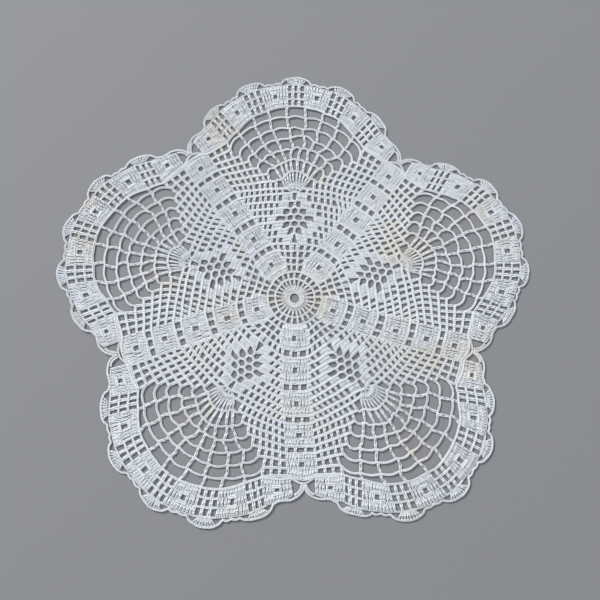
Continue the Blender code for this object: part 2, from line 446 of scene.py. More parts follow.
def chart_fan():
    """The fan's posts: the first spring from the dome, the rest from the round below."""
    first = FAN[FAN_START]
    for post in range(FIRST_POSTS):     # turns are counted in odd steps: 1, 3, 5...
        add_post(polar(DOME_HUB, DOME_REACH, FIRST_TURN * (2 * post + 1)),
                 polar(FAN_HUB, first.reach, first.turn * (2 * post + 1)), FOOT_WIDE)
    for post in range(FAN_POSTS):       # these stand closer than the round below has posts
        add_post(polar(FAN_HUB, first.reach, SECOND_TURN * (2 * post + 1)),
                 fan_head(FAN_START + 1, post), POST_WIDE, SECOND_SLIP)
    for number in range(FAN_START + 2, LAST_ROUND + 1):
        for post in range(FAN_POSTS):
            add_post(fan_head(number - 1, post), fan_head(number, post), POST_WIDE, FAN_SLIP)


before = len(posts)
chart_dome()
chart_fan()
print(len(posts) - before, "posts in half a dome and half a fan")

# %% Posts of the border
BORDER_POST = 2.3                       # width of a post in a filet column
COLUMN_STANDS = (1 / 3, 2 / 3)          # where a filet column has its posts
HOLE_LEVEL = 1                          # the border's round with a small hole in each block
BESIDE_HOLE = 4                         # and its posts on each side of the hole


def border_stands(first, level):
    """Where the posts of a block or column stand, as shares of its width."""
    if not BLOCKS[first]:               # the axis runs through the first column
        return COLUMN_STANDS if first else COLUMN_STANDS[:1]
    if level == HOLE_LEVEL:
        beside = [k / (BESIDE_HOLE - 1) * BLOCK_HOLE for k in range(BESIDE_HOLE)]
        return beside + [1 - share for share in beside]
    return [k / BLOCK_PITCHES for k in range(BLOCK_PITCHES + 1)]


def chart_border(level):
    """The posts of one of the border's rounds."""
    low, high = level / BORDER_ROUNDS, (level + 1) / BORDER_ROUNDS
    middle = (level + 0.5) / BORDER_ROUNDS
    for first, solid in enumerate(BLOCKS):
        packed = snug(border_point(middle, first), border_point(middle, first + 1), BLOCK_PITCHES)
        for share in border_stands(first, level):
            add_post(border_point(low, first + share), border_point(high, first + share),
                     packed if solid else BORDER_POST)


before = len(posts)
for level in range(BORDER_ROUNDS):
    chart_border(level)
print(len(posts) - before, "posts in half a lobe's border")

# %% [markdown]
# ## Chains
#
# The top of every round is a plait of chain and stitch heads. It could be one smooth
# tube, but then nothing would catch the light as the plait's small strands do. So it is
# charted as a line of points that links will follow, end to end. A chain in the net
# bows out between two posts, and one in a solid block nearly sinks between them.

# %% Lines of the rounds
ARC_BOW, FIRST_BOW = 1.2, 0.1           # how far a chain bows out between the fan's posts, and at first
SIDE_BOW, SIDE_STEPS = 1.8, 4           # and beside the filet, where the cell is round
HALF_BOW = 0.7                          # part of the bow that is left beside the axis
SPOKE_STEPS = 8
CHART_STEP = 0.7                        # distance between a charted chain's points
INNER_SIDE = 40.0                       # a point well inside the fan, to tell outward from inward


def bulge(share):
    """A curve that is 0 at both ends and 1 halfway."""
    return 4 * share * (1 - share)


def bowed(start, end, rise, steps=4):
    """A chain between two posts that bows outward in the middle."""
    dx, dy = end[0] - start[0], end[1] - start[1]
    length = math.hypot(dx, dy)
    out = (dy / length, -dx / length)
    if out[0] * start[0] + out[1] * (start[1] - INNER_SIDE) < 0:
        out = (-out[0], -out[1])
    points = []
    for k in range(1, steps + 1):
        lift = rise * bulge(k / steps)
        x, y = mix(start, end, k / steps)
        points.append((x + out[0] * lift, y + out[1] * lift))
    return points


def fan_line(number):
    """The chain over the fan, from the filet's end to the lobe's axis."""
    row = FAN[number]
    count, bow = (FAN_POSTS, ARC_BOW) if number > FAN_START else (FIRST_POSTS, FIRST_BOW)
    last_turn = row.turn * (2 * count - 1)
    line = []
    for k in range(1, SIDE_STEPS + 1):
        reach, turn = mix((row.end_reach, row.end_turn), (row.reach, last_turn), k / SIDE_STEPS)
        line.append(polar(FAN_HUB, reach + SIDE_BOW * bulge(k / SIDE_STEPS), turn))
    for post in range(count - 1, 0, -1):
        start = polar(FAN_HUB, row.reach, row.turn * (2 * post + 1))
        end = polar(FAN_HUB, row.reach, row.turn * (2 * post - 1))
        line += bowed(start, end, bow)
    line.append(polar(FAN_HUB, row.reach + bow * HALF_BOW, row.turn / 2))
    line.append(polar(FAN_HUB, row.reach + bow, 0.0))
    return line


def round_line(number):
    """The chain on top of a round, from the middle of the spoke to the lobe's axis."""
    line = [spoke_top(number, k / SPOKE_STEPS) for k in range(SPOKE_STEPS + 1)]
    if number in INNER:
        start = spoke_top(number, 1.0)[0]
        steps = round(start / CHART_STEP)
        return line + [row_point(number, start * (1 - k / steps)) for k in range(1, steps + 1)]
    line += filet_heads(number)[1:]
    return line if number == LAST_ROUND else line + fan_line(number)


print(len(round_line(FAN_START)), "points on the line of round 16")

# %% Chains of the rounds
BLOCK_CHAIN = 1.0                       # width of a chain in a solid block
OVER_HOLE = 2                           # steps of a spoke's chain over its small hole
chains = []                             # points, width


def filet_end(number, line):
    """Which of a line's points is the last one beside the filet."""
    if number not in INNER:
        return SPOKE_STEPS + len(filet_heads(number)) - 1
    stop = WEB[number].heads[-1] if number in WEB else INNER[number].edge
    return next(k for k, point in enumerate(line) if point[0] < stop)


def chart_round(number):
    """The chain of one round, cut where its width changes."""
    line = round_line(number)
    filet = filet_end(number, line)
    if number == DOME_ROUND:            # the dome stands on the rest
        line = line[:filet]
    over_hole = OVER_HOLE if spoke_step(number) in (FULL, HOLED) else SPOKE_STEPS
    net = WEB_WIDE if number in INNER else CHAIN_WIDE
    for first, last, wide in ((0, over_hole, HOLE_WIDE), (over_hole, SPOKE_STEPS, BLOCK_CHAIN),
                              (SPOKE_STEPS, filet, FILET_WIDE), (filet, len(line) - 1, net)):
        if first < min(last, len(line) - 1):
            chains.append((line[first:last + 1], wide))


for number in range(FIRST_ROUND, LAST_ROUND + 1):
    chart_round(number)
print(len(chains), "stretches of chain on the rounds of half a lobe")

# %% Chains of the border and the dome
BORDER_CHAINS = (1.8, 1.8, 1.7, 1.4)    # widths of the border's chains from its inner edge
BORDER_STEPS, DOME_STEPS = 6, 5
HOLE_CHAIN, HOLE_STRETCH = 2.6, 0.34    # width of the chain beside a hole, and its share of the block


def chart_border_chain(level):
    """The chain between two of the border's rounds, or at its edge."""
    height = level / BORDER_ROUNDS
    for first, solid in enumerate(BLOCKS):
        edge = [border_point(height, first + k / BORDER_STEPS) for k in range(BORDER_STEPS + 1)]
        chains.append((edge, BLOCK_CHAIN if solid and level else BORDER_CHAINS[level]))
    if 0 < level < BORDER_ROUNDS:       # a short thicker stretch beside each block's hole
        for first, solid in enumerate(BLOCKS):
            if solid:
                stretch = [first + 0.5 + side * HOLE_STRETCH / 2 for side in (-1, 0, 1)]
                chains.append(([border_point(height, at) for at in stretch], HOLE_CHAIN))


before = len(chains)
for level in range(BORDER_ROUNDS + 1):
    chart_border_chain(level)
for line in ([polar(DOME_HUB, DOME_REACH, DOME_TURN * k / DOME_STEPS) for k in range(DOME_STEPS + 1)],
             [border_point(k / BORDER_STEPS, len(BLOCKS)) for k in range(BORDER_STEPS + 1)]):
    chains.append((line, BLOCK_CHAIN))
print(len(chains) - before, "stretches of chain on the border and the dome")

# %% [markdown]
# ## The edging and the valleys
#
# The last round makes the doily's outline: a rim of chain that rises over a shell of
# posts at each filet column and loops twice over each block. Where two lobes meet,
# the rim dips to the spoke, a second chain runs inside it, and an arch spans the spoke.
# A scalloped outline could be cut out of a disc, but a rim that is worked as a line keeps
# the small gaps under it open.

# %% Chart the edging and the valleys
RIM_REACH, RIM_END = 72.3, 65.5         # its reach from the border's hub, and its last turn
RIM_STEPS = 90
# turn of each shell's middle from the axis, and how far it stands past the rim
SHELLS = ((0.0, 5.3), (27.0, 5.3), (53.0, 3.8))
SHELL_HALF = 8.4                        # half of a shell, in degrees
SHELL_POSTS = 8
SHELL_FAN, SHELL_FOOT = 5.4, 2.6        # half of its cluster of posts at the heads and the feet
SHELL_FOOT_REACH = 71.6
SHELL_WIDE, RIM_WIDE = 1.3, 1.6
LOOP_RISE = 1.1                         # how far each of the rim's two loops rises off a block
# chains by a spoke, as places across it and along it: the rim, the one inside it, the arch
VALLEY = ((9.4, 134.2), (6.2, 133.0), (3.6, 131.4), (1.4, 129.0), (0.4, 126.8), (0.0, 124.8))
VALLEY_INNER = ((6.6, 131.0), (3.9, 129.6), (2.3, 127.2), (1.4, 124.6))
ARCH = ((8.4, 120.0), (5.2, 122.0), (2.4, 123.6), (0.0, 123.9))


def rim_rise(turn):
    """How far the rim stands off the border: a dome over a shell, two loops over a block."""
    for shell, full in SHELLS:
        share = abs(turn - shell) / SHELL_HALF
        if share < 1:
            return full * math.sqrt(1 - share * share)
    for (before, _), (after, _) in zip(SHELLS, SHELLS[1:]):
        start, end = before + SHELL_HALF, after - SHELL_HALF
        if start <= turn <= end:
            return LOOP_RISE * abs(math.sin((turn - start) / (end - start) * 2 * math.pi))
    return 0.0


def rim_point(turn):
    """The rim of the edging at a turn from the axis."""
    return polar(BORDER_HUB, RIM_REACH + rim_rise(turn), turn)


rim = [rim_point(RIM_END * k / RIM_STEPS) for k in range(RIM_STEPS + 1)]
rim += [spoke_point(*place) for place in VALLEY]
chains.append((rim, RIM_WIDE))
for places in (VALLEY_INNER, ARCH):
    chains.append(([spoke_point(*place) for place in places], RIM_WIDE))
for shell, _ in SHELLS:
    for post in range(SHELL_POSTS):
        share = post / (SHELL_POSTS - 1) * 2 - 1
        if shell > 0 or share >= 0:     # the first shell is cut in half by the axis
            foot = polar(BORDER_HUB, SHELL_FOOT_REACH, shell + SHELL_FOOT * share)
            add_post(foot, rim_point(shell + SHELL_FAN * share), SHELL_WIDE)
print(len(posts), "posts and", len(chains), "stretches of chain on half a lobe")

# %% [markdown]
# ## Out of true, as handwork is
#
# No two lobes are the same size: a worker's tension changes, and a washed doily is
# never pulled quite round again. Moving every stitch by chance would make it look
# tangled. So the even star is eased by a slow shift, given in ten directions at two
# radii, while a faster wander moves single stitches by a few tenths of a millimetre,
# and more where the net of a fan hangs loose.

# %% Ease the star
STAR_AT = (-1.2, -9.0)                  # middle of the even star in the frame
# direction in degrees: shift outward and sideways at the middle rounds and at the border
STRAY = (
    (18, -0.5, -1.0, 1.9, 0.3),
    (54, -1.8, -1.5, -1.0, -2.8),
    (90, 0.0, 1.0, -0.5, -1.2),
    (126, 1.3, -0.7, 3.0, -0.8),
    (162, 0.8, -1.2, -0.3, 0.2),
    (198, 0.1, -1.0, 0.0, -0.2),
    (234, 0.7, -1.2, -1.4, 0.7),
    (270, 1.2, -2.5, -2.8, 3.0),
    (306, -0.8, -2.5, 1.0, 4.5),
    (342, -1.0, -2.8, 0.3, 1.8),
)
STRAY_MIDDLE = (-2.0, -0.7)             # the middle hole's own shift
STRAY_RADII = (60.0, 140.0)
WANDER, WANDER_SIZE = 0.55, 7.0         # how far stitches wander, and over what distance
SLACK, SLACK_SIZE = 2.6, 12.0           # the same in the middle of a fan, whose net is loose
SLACK_MIDDLE, SLACK_REACH = 112.0, 36.0     # where that is on the lobe's axis, and how far it goes
SLACK_APART = 3                         # steps between the lobes in the noise, so that they differ
TINY = 0.001                            # keeps the very middle from being divided by nothing


def strayed(x, y):
    """Where a point of the even star lies in the handmade piece."""
    radius = max(math.hypot(x, y), TINY)
    step = 360 / len(STRAY)
    place = (math.degrees(math.atan2(y, x)) % 360 - STRAY[0][0]) / step
    first = math.floor(place)
    share = (1 - math.cos(math.pi * (place - first))) / 2
    row = mix(STRAY[first % len(STRAY)][1:], STRAY[(first + 1) % len(STRAY)][1:], share)
    outward, sideways = (x / radius, y / radius), (-y / radius, x / radius)
    at_middle, at_rim = [tuple(out * o + side * s for o, s in zip(outward, sideways))
                         for out, side in (row[:2], row[2:])]
    middle_radius, rim_radius = STRAY_RADII
    if radius < middle_radius:
        shift = mix(STRAY_MIDDLE, at_middle, radius / middle_radius)
    else:
        shift = mix(at_middle, at_rim, (radius - middle_radius) / (rim_radius - middle_radius))
    wander = noise.noise_vector(Vector((x, y, 0.0)) / WANDER_SIZE) * WANDER
    return (x + shift[0] + wander.x, y + shift[1] + wander.y)


def placed(point, lobe, side):
    """A charted point in the frame: mirrored for side -1, turned to its lobe, eased."""
    x, y = point[0] * side, point[1]
    loose = max(0.0, 1 - (x * x + (y - SLACK_MIDDLE) ** 2) / SLACK_REACH ** 2)
    layer = lobe * SLACK_APART * SLACK_SIZE
    slack = noise.noise_vector(Vector((x, y, layer)) / SLACK_SIZE) * SLACK * loose
    x, y = x + slack.x, y + slack.y
    angle = lobe * 2 * SECTOR
    x, y = math.cos(angle) * x - math.sin(angle) * y, math.sin(angle) * x + math.cos(angle) * y
    x, y = strayed(x, y)
    return ((x + STAR_AT[0]) * MM, (y + STAR_AT[1]) * MM)


print("the middle of the star lies at",
      [round(v / MM, 1) for v in placed((0.0, 0.0), 0, 1)], "mm")

# %% [markdown]
# ## Stitches in thread
#
# Crochet cotton is a round thread that is pressed a little flat in washing. A stitch
# could be a curve with a bevel, but these shapes repeat thousands of times, so each has
# only a few dozen faces. A strand starts as a short four-sided cone with straight sides.
# Cuts along it give it rings, and each ring is moved to its place on a path, which keeps
# the strand's own UV map for the twist of the thread.

# %% A strand on a path
THREAD = 0.37                           # radius of a strand
STRAND_SIDES = 4
FLATTENED = 0.8                         # height of a pressed strand over its width
NEAR = 0.02                             # how far ahead and behind the path's direction is read
SEAM = 0.6                              # a face that spans more of the way round is on the seam
TAPER_POWER = 3                         # how late a strand grows thin towards its ends


def lay_uv(strand):
    """Writes the way round and the way along the strand to its UV map."""
    uv = strand.loops.layers.uv.verify()
    for face in strand.faces:
        face.smooth = True
        around = [math.atan2(loop.vert.co.y, loop.vert.co.x) / (2 * math.pi) % 1.0
                  for loop in face.loops]
        on_seam = max(around) - min(around) > SEAM
        for loop, u in zip(face.loops, around):
            loop[uv].uv = (u + (1.0 if on_seam and u < 0.5 else 0.0), loop.vert.co.z + 0.5)


def add_strand(shape, path, rings, thick=THREAD, taper=0.55):
    """Adds a strand that follows path(share), with its place along it in the UV map."""
    strand = bmesh.new()
    bmesh.ops.create_cone(strand, cap_ends=True, segments=STRAND_SIDES,
                          radius1=1.0, radius2=1.0, depth=1.0)
    long_edges = [edge for edge in strand.edges
                  if abs(edge.verts[0].co.z - edge.verts[1].co.z) > 0.5]
    bmesh.ops.subdivide_edges(strand, edges=long_edges, cuts=rings)
    lay_uv(strand)
    for vert in strand.verts:
        share = vert.co.z + 0.5
        here, ahead, behind = (Vector(path(s)) for s in (share, share + NEAR, share - NEAR))
        forward = (ahead - behind).normalized()
        side = forward.cross(Vector((0.0, 0.0, 1.0))).normalized()
        up = side.cross(forward)
        ends = 1 - (1 - taper) * abs(2 * share - 1) ** TAPER_POWER
        vert.co = here + (side * vert.co.x + up * vert.co.y * FLATTENED) * thick * ends
    piece = bpy.data.meshes.new("strand")
    strand.to_mesh(piece)
    strand.free()
    shape.from_mesh(piece)
    bpy.data.meshes.remove(piece)


def finish_stitch(name, shape):
    """Turns its faces outward, brings it to metres and makes it an object."""
    bmesh.ops.recalc_face_normals(shape, faces=shape.faces[:])
    bmesh.ops.scale(shape, vec=(MM, MM, MM), verts=shape.verts[:])
    mesh = bpy.data.meshes.new(name)
    shape.to_mesh(mesh)
    shape.free()
    print(f"{name}: {len(mesh.polygons)} faces")
    return bpy.data.objects.new(name, mesh)


# %% A post: two twisted legs and a wrap
POST_LONG = 5.4
STITCH_WIDE = 1.60                      # how wide a stitch is as it is modelled
OVERLAP = 0.04                          # part of a post that runs under the chains at its ends
LEG_TWIST = 1.0                         # how far the legs turn round each other, in radians
LEG_SPREAD, LEG_FLAT = 0.42, 0.8        # from a post's middle to each leg, and height over width
FLARE, FLARE_POWER = 0.35, 5            # how far the legs part at a post's ends, and how late
WRAP_FROM, WRAP_TURN = 1.08, 1.16       # the wrap's start and its way over the legs, in half turns
WRAP_REACH, WRAP_SLANT = 0.62, 1.5      # from the post's middle, and along the post
WRAP_LOW, WRAP_RISE = 0.16, 0.36        # height of its ends, and how far it rises over the legs
WRAP_THIN, BLUNT = 0.85, 0.7            # its thickness over a leg's, and the taper of short strands


def post_stitch(name, phase, wrap_at):
    """A tall stitch along Y from its foot at 0 to its head."""
    shape = bmesh.new()
    for leg in (0.0, math.pi):
        def path(share, leg=leg):
            angle = leg + phase + (share - 0.5) * LEG_TWIST
            flare = 1 + FLARE * abs(2 * share - 1) ** FLARE_POWER
            return (LEG_SPREAD * flare * math.cos(angle),
                    (share * (1 + 2 * OVERLAP) - OVERLAP) * POST_LONG,
                    LEG_SPREAD * LEG_FLAT * math.sin(angle))
        add_strand(shape, path, rings=4)

    def wrap(share):
        angle = math.pi * (WRAP_FROM - WRAP_TURN * share)
        return (WRAP_REACH * math.cos(angle), wrap_at + WRAP_SLANT * (share - 0.5),
                WRAP_LOW + WRAP_RISE * math.sin(angle))
    add_strand(shape, wrap, rings=2, thick=THREAD * WRAP_THIN, taper=BLUNT)
    return finish_stitch(name, shape)


post_stitches = (post_stitch("a_post", phase=0.3, wrap_at=2.6),
                 post_stitch("b_post", phase=-0.3, wrap_at=3.0))

# %% A link: two strands that lean together
LINK_LONG = 1.45                        # a link's own length
LINK_HALF, LINK_CLOSE = 0.52, 0.46      # half its width at the start, and how far that closes
LINK_CLOSE_POWER = 1.5
LINK_TAIL = 0.20                        # how far it runs under its neighbours
LINK_TILT, LINK_RISE = 0.10, 0.22       # one strand is lower than the other, and both arch
LINK_THICK = 1.02


def link_stitch(name, lean):
    """One link of a plait along Y: two strands that run in from the sides."""
    shape = bmesh.new()
    for side in (-1, 1):
        def path(share, side=side):
            half = LINK_HALF - LINK_CLOSE * max(share, 0.0) ** LINK_CLOSE_POWER
            return (side * half + lean * share,
                    -LINK_TAIL + share * (LINK_LONG + 2 * LINK_TAIL),
                    LINK_TILT * side + LINK_RISE * math.sin(math.pi * share))
        add_strand(shape, path, rings=1, thick=THREAD * LINK_THICK, taper=BLUNT)
    return finish_stitch(name, shape)


link_stitches = (link_stitch("c_link", lean=0.0), link_stitch("d_link", lean=0.05))

# a collection hands out its stitches in the order of their names
stitch_box = bpy.data.collections.new("stitch_box")
POST_KINDS, LINK_KINDS = (0, 1), (2, 3)
for stitch in post_stitches + link_stitches:
    stitch_box.objects.link(stitch)

# %% [markdown]
# ## Lay the stitches
#
# A worker makes the same two stitches thousands of times, each a little longer, tighter
# or further round than the last. They could be copied as objects, one by one, but that
# is slow and fills the file. Here each stitch is one point that carries its kind, its
# turn, its size and a tint. A node group puts the stitch of that kind on each point and
# makes the copies real, and the result is kept as a plain mesh.

# %% Node group that lays stitches
def laying_nodes():
    """Puts the stitch that a point names on it, with the point's own turn and size."""
    tree = bpy.data.node_groups.new("lay_stitches", "GeometryNodeTree")
    tree.interface.new_socket("Geometry", in_out="INPUT", socket_type="NodeSocketGeometry")
    tree.interface.new_socket("Geometry", in_out="OUTPUT", socket_type="NodeSocketGeometry")
    new = tree.nodes.new
    points, result = new("NodeGroupInput"), new("NodeGroupOutput")
    box = new("GeometryNodeCollectionInfo")
    box.inputs["Collection"].default_value = stitch_box
    box.inputs["Separate Children"].default_value = True
    box.inputs["Reset Children"].default_value = True
    lay, real = new("GeometryNodeInstanceOnPoints"), new("GeometryNodeRealizeInstances")
    lay.inputs["Pick Instance"].default_value = True
    euler = new("FunctionNodeEulerToRotation")
    link = tree.links.new
    for name, kind, socket in (("kind", "INT", lay.inputs["Instance Index"]),
                               ("turn", "FLOAT_VECTOR", euler.inputs["Euler"]),
                               ("size", "FLOAT_VECTOR", lay.inputs["Scale"])):
        read = new("GeometryNodeInputNamedAttribute")
        read.data_type = kind
        read.inputs["Name"].default_value = name
        link(read.outputs["Attribute"], socket)
    link(points.outputs[0], lay.inputs["Points"])
    link(box.outputs["Instances"], lay.inputs["Instance"])
    link(euler.outputs["Rotation"], lay.inputs["Rotation"])
    link(lay.outputs["Instances"], real.inputs["Geometry"])
    link(real.outputs["Geometry"], result.inputs[0])
    return tree


lay_tree = laying_nodes()
print(len(lay_tree.nodes), "nodes lay the stitches")

# %% Note where each stitch lies
POST_Z, LINK_Z = 0.76, 0.82             # height of a post's and a link's middle
SHORT_POST = 4.0                        # a post under this length is always of the first kind
LOOSEST, UNEVEN = (0.93, 1.08), 0.05    # how much a stitch's width and its height vary
Stitch = namedtuple("Stitch", "place kind turn size tint")
stitches = {}                           # piece: list of stitches


def note(piece, start, end, kind, wide, height, long):
    """Notes a stitch that runs from one placed point to another."""
    dx, dy = end[0] - start[0], end[1] - start[1]
    turn = (0.0, 0.0, math.atan2(-dx, dy))
    loose = random.uniform(*LOOSEST)
    size = (wide * loose, math.hypot(dx, dy) / MM / long, loose)
    z = (height + random.uniform(-UNEVEN, UNEVEN)) * MM
    stitch = Stitch((start[0], start[1], z), kind, turn, size, random.random())
    stitches.setdefault(piece, []).append(stitch)


def lay_post(piece, foot, head, wide):
    """Lays a post between two placed points."""
    tall = math.dist(foot, head) > SHORT_POST * MM
    kind = random.choice(POST_KINDS) if tall else POST_KINDS[0]
    note(piece, foot, head, kind, wide / STITCH_WIDE, POST_Z, POST_LONG)


def lay_chain(piece, line, wide):
    """Lays links end to end along a line of placed points."""
    far = [0.0]
    for a, b in zip(line, line[1:]):
        far.append(far[-1] + math.hypot(b[0] - a[0], b[1] - a[1]))
    count = max(1, round(far[-1] / (LINK_LONG * MM)))
    stops = np.linspace(0.0, far[-1], count + 1)
    ends = list(zip(np.interp(stops, far, [x for x, _ in line]),
                    np.interp(stops, far, [y for _, y in line])))
    height = LINK_Z * min(1.0, wide / WEB_WIDE)
    for start, end in zip(ends, ends[1:]):
        note(piece, start, end, random.choice(LINK_KINDS), wide / STITCH_WIDE, height, LINK_LONG)


# %% Lay the lobes
ON_AXIS = 0.01                          # a post this near to the axis stands on it


def slipped(foot, head, slip):
    """The foot of a post, moved a little across the post."""
    dx, dy = head[0] - foot[0], head[1] - foot[1]
    move = random.uniform(-slip, slip) / math.hypot(dx, dy)
    return (foot[0] - dy * move, foot[1] + dx * move)


def lay_half(lobe, side):
    """Lays the charted half lobe on one side of a lobe's axis."""
    piece = f"lobe_{lobe + 1}"
    for foot, head, wide, slip in posts:
        if side < 0 and abs(foot[0]) < ON_AXIS and abs(head[0]) < ON_AXIS:
            continue                    # the other side has laid it already
        stops = [slipped(foot, head, slip), head]
        if slip == FAN_SLIP:            # a tall post in the loose net has a kink in it
            stops.insert(1, slipped(mix(*stops, 0.5), head, KINK))
        stops = [placed(stop, lobe, side) for stop in stops]
        for start, end in zip(stops, stops[1:]):
            lay_post(piece, start, end, wide)
    for chain, wide in chains:
        lay_chain(piece, [placed(point, lobe, side) for point in chain], wide)


for lobe in range(LOBES):
    for side in (1, -1):
        lay_half(lobe, side)
print({piece: len(laid) for piece, laid in stitches.items()}, "stitches")

# %% Lay the rings in the middle
RING_STEP = 6                           # degrees between the points of a ring's chain
MIDDLE_CHAIN = 1.4                      # width of the chain round the hole


def ring_point(reach, turn):
    """A point of the middle's rings, which belong to no lobe."""
    return placed(polar(0, reach, turn), 0, 1)


below = MIDDLE_HOLE
for ring in RINGS:
    for post in range(RING_POSTS):
        turn = 360 / RING_POSTS * post
        lay_post("centre", ring_point(below, turn), ring_point(ring.reach, turn), ring.post_wide)
    below = ring.reach
ring_chains = [(MIDDLE_HOLE, MIDDLE_CHAIN)] + [(ring.reach, ring.chain_wide) for ring in RINGS]
for reach, wide in ring_chains:
    line = [ring_point(reach, turn) for turn in range(0, 360 + RING_STEP, RING_STEP)]
    lay_chain("centre", line, wide)

print(len(stitches["centre"]), "stitches in the centre")

# %% [markdown]
# ## Turn the notes into meshes
#
# The notes of one lobe are the points of a small mesh, and the node group turns them
# into thread. The modifier could stay live, but a kept mesh is what other programs can
# read. Each lobe is a piece of its own, so that no mesh grows too heavy. The tint stays
# as an attribute, because the cotton's finish reads it.

# %% Make the lobes and the centre
def laid_piece(name, laid):
    """The mesh of one piece, made by the node group from its noted stitches."""
    spots = bpy.data.meshes.new(name + "_spots")
    spots.vertices.add(len(laid))
    places = np.array([stitch.place for stitch in laid], np.float32)
    spots.vertices.foreach_set("co", places.ravel())
    for attribute, kind, number, key in (("kind", "INT", np.int32, "value"),
                                         ("turn", "FLOAT_VECTOR", np.float32, "vector"),
                                         ("size", "FLOAT_VECTOR", np.float32, "vector"),
                                         ("tint", "FLOAT", np.float32, "value")):
        values = np.array([getattr(stitch, attribute) for stitch in laid], number)
        spots.attributes.new(attribute, kind, "POINT").data.foreach_set(key, values.ravel())
    seed = bpy.data.objects.new(name + "_spots", spots)
    bpy.context.scene.collection.objects.link(seed)
    seed.modifiers.new("lay", "NODES").node_group = lay_tree
    bpy.context.view_layer.update()
    evaluated = seed.evaluated_get(bpy.context.evaluated_depsgraph_get())
    mesh = bpy.data.meshes.new_from_object(evaluated)
    bpy.data.objects.remove(seed)
    mesh.name = name
    for attribute in ("kind", "turn", "size"):
        if attribute in mesh.attributes:
            mesh.attributes.remove(mesh.attributes[attribute])
    piece = bpy.data.objects.new(name, mesh)
    bpy.context.scene.collection.objects.link(piece)
    mesh.calc_loop_triangles()
    print(f"{name}: {len(mesh.loop_triangles)} triangles")
    return piece


lace = {name: laid_piece(name, laid) for name, laid in stitches.items()}
for stitch in list(stitch_box.objects):
    bpy.data.objects.remove(stitch)
bpy.data.collections.remove(stitch_box)

# %% [markdown]
# ## Shader maths
#
# A finish is mostly sums on numbers that change over the surface. They could be wired
# node by node, but a long chain of Math nodes is hard to read. A small class wraps a
# socket, so that a sum written in Python adds its own nodes. A second one holds the
# material, with one method that adds any other node.

# %% Values and shaders
class Value:
    """One socket of a shader tree. A sum on it adds a Math node."""

    def __init__(self, tree, socket):
        self.tree = tree
        self.socket = socket

    def math(self, operation, *values, clamped=False):
        """Adds a Math node on values and numbers, in their order."""
        node = self.tree.nodes.new("ShaderNodeMath")
        node.operation = operation
        node.use_clamp = clamped
        for socket, value in zip(node.inputs, values):
            if isinstance(value, Value):
                self.tree.links.new(value.socket, socket)
            else:
                socket.default_value = value
        return Value(self.tree, node.outputs[0])

    def __add__(self, other):
        return self.math("ADD", self, other)

    def __sub__(self, other):
        return self.math("SUBTRACT", self, other)

    def __rsub__(self, other):
        return self.math("SUBTRACT", other, self)

    def __mul__(self, other):
        return self.math("MULTIPLY", self, other)

    __radd__, __rmul__ = __add__, __mul__

    def sine(self):
        return self.math("SINE", self)

    def clamp(self):
        """The same value, held between 0 and 1."""
        return self.math("ADD", self, 0.0, clamped=True)


class Shader:
    """A material's tree and one method that adds any node."""

    def __init__(self, name):
        self.material = bpy.data.materials.new(name)
        self.material.use_nodes = True
        self.tree = self.material.node_tree
        self.surface = self.tree.nodes["Principled BSDF"]

    def node(self, kind, settings=None, **sockets):
        """Adds a node: its settings are set first, then the values or links of its sockets."""
        node = self.tree.nodes.new(kind)
        for key, value in (settings or {}).items():
            setattr(node, key, value)
        for key, value in sockets.items():
            self.feed(node.inputs[key], value)
        return node

    def feed(self, socket, value):
        """Links a value or a socket to a socket, or sets it to a constant."""
        if isinstance(value, Value):
            value = value.socket
        if isinstance(value, bpy.types.NodeSocket):
            self.tree.links.new(value, socket)
        else:
            socket.default_value = value

    def read(self, node, output):
        """A node's output as a value for sums."""
        return Value(self.tree, node.outputs[output])


# %% [markdown]
# ## Cotton
#
# Bleached crochet cotton is two fine plies twisted together, matt, and a little creamy
# where it has aged. A flat white would hide the stitches, and a picture of lace couldn't
# follow each strand. So the twist is a slanted wave on each strand's own UV map, the
# fibres are a fine noise, the ageing is a slow noise over the whole piece with a share
# of each stitch's tint, and a painted shade darkens the thread where it sinks between its neighbours.

# %% The cotton's finish
PLIES, TWIST_TURNS = 2, 5.0             # plies of the thread, and their turns along a strand
FIBRE_SCALE = 2500.0                    # fibres to a metre
TWIST_DEPTH, FIBRE_DEPTH = 0.5, 0.8     # shares of the two in the relief
RELIEF_HIGH, RELIEF_STRENGTH = 0.0001, 0.6
WHITE, CREAM = (0.78, 0.82, 0.865, 1.0), (0.80, 0.75, 0.64, 1.0)
SHADE_COLOUR = (0.28, 0.28, 0.29, 1.0)          # painted shade: the colour of thread low down between its neighbours
AGE_AT, AGE_SCALE = (0.31, 0.12, 0.0), 22.0     # shifts the stains, and how many there are
AGE_FROM, AGE_EDGE = 0.52, 5.0          # noise above this turns creamy, and how sharply
TINT_SHARE, CREAM_SHARE = 0.5, 0.65     # how much stitches differ, and the strongest cream
SHADE_BELOW, SHADE_EDGE = 0.00018, 1500.0     # height under which the thread gets painted shade, and how sharply
COTTON_ROUGH, COTTON_SHEEN = 0.85, 0.05


def cotton_relief(cotton, spot):
    """The twist of the plies and the fibres, as bumps."""
    uv = cotton.node("ShaderNodeSeparateXYZ", Vector=spot.outputs["UV"])
    around, along = cotton.read(uv, "X"), cotton.read(uv, "Y")
    twist = ((around + along * TWIST_TURNS) * (2 * math.pi * PLIES)).sine()
    fibre = cotton.node("ShaderNodeTexNoise", Vector=spot.outputs["Object"],
                        Scale=FIBRE_SCALE, Detail=2.0)
    relief = twist * TWIST_DEPTH + cotton.read(fibre, "Fac") * FIBRE_DEPTH
    return cotton.node("ShaderNodeBump", Height=relief,
                       Distance=RELIEF_HIGH, Strength=RELIEF_STRENGTH)


